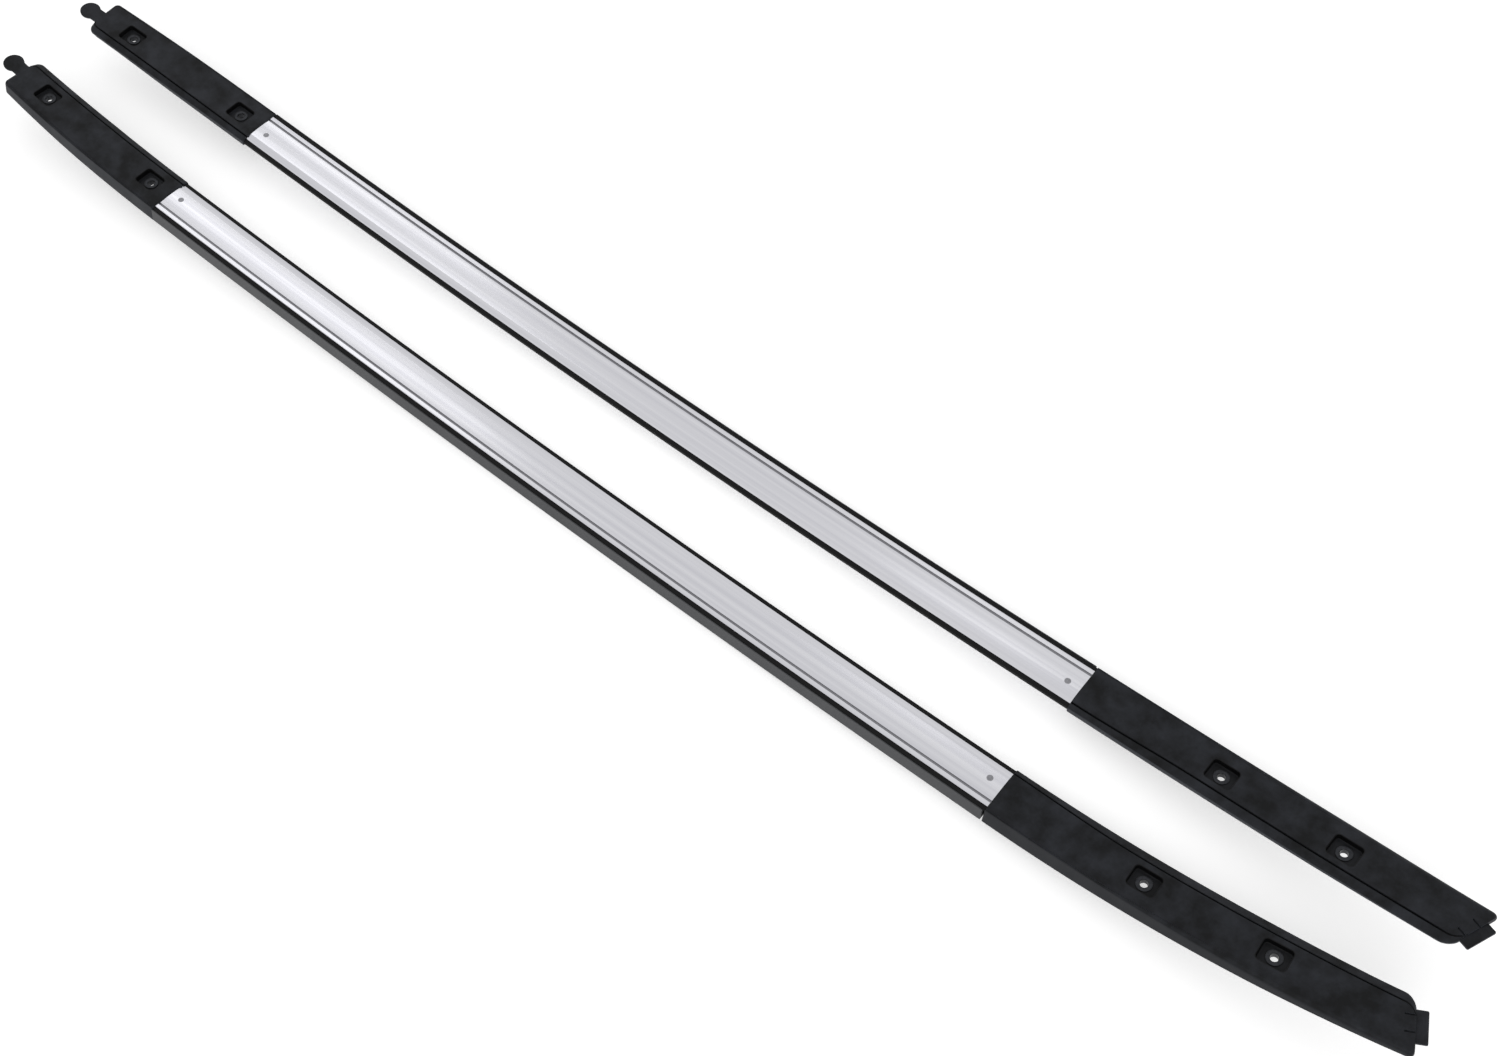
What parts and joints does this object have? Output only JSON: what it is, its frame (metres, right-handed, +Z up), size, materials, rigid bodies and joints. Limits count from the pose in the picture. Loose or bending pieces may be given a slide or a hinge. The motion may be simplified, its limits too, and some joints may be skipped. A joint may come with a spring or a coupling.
{
  "type": "roof side rail pair",
  "caption": "Pair of mirrored roof side rails: bowed aluminium bars with black moulded ends, seals, dark skirts and bolt pockets with steel bushes",
  "frame": {"origin": "on the ground, midway between the two rails and midway along their overall length", "axes": "+X along the rails towards the long ends, +Y across towards the left rail, +Z up"},
  "size_m": [2.018, 0.2172, 0.1053],
  "materials": {
    "bright_aluminium": "satin anodised",
    "dark_skirt": "satin moulded",
    "black_seal": "matte",
    "moulding": "fine moulded grain",
    "pad": "matte",
    "steel": "zinc plated"
  },
  "bodies": {
    "root": {"left_bar": "bright_aluminium", "left_skirt": "dark_skirt", "left_outer_seal": "black_seal", "left_inner_seal": "black_seal", "left_long_end": "moulding", "left_short_end": "moulding", "left_long_pad": "pad", "left_short_pad": "pad", "left_long_bush_1": "steel", "left_long_bush_2": "steel", "left_short_bush_1": "steel", "left_short_bush_2": "steel", "left_long_rivet": "steel", "left_short_rivet": "steel", "right_bar": "bright_aluminium", "right_skirt": "dark_skirt", "right_outer_seal": "black_seal", "right_inner_seal": "black_seal", "right_long_end": "moulding", "right_short_end": "moulding", "right_long_pad": "pad", "right_short_pad": "pad", "right_long_bush_1": "steel", "right_long_bush_2": "steel", "right_short_bush_1": "steel", "right_short_bush_2": "steel", "right_long_rivet": "steel", "right_short_rivet": "steel"}
  },
  "joints": []
}
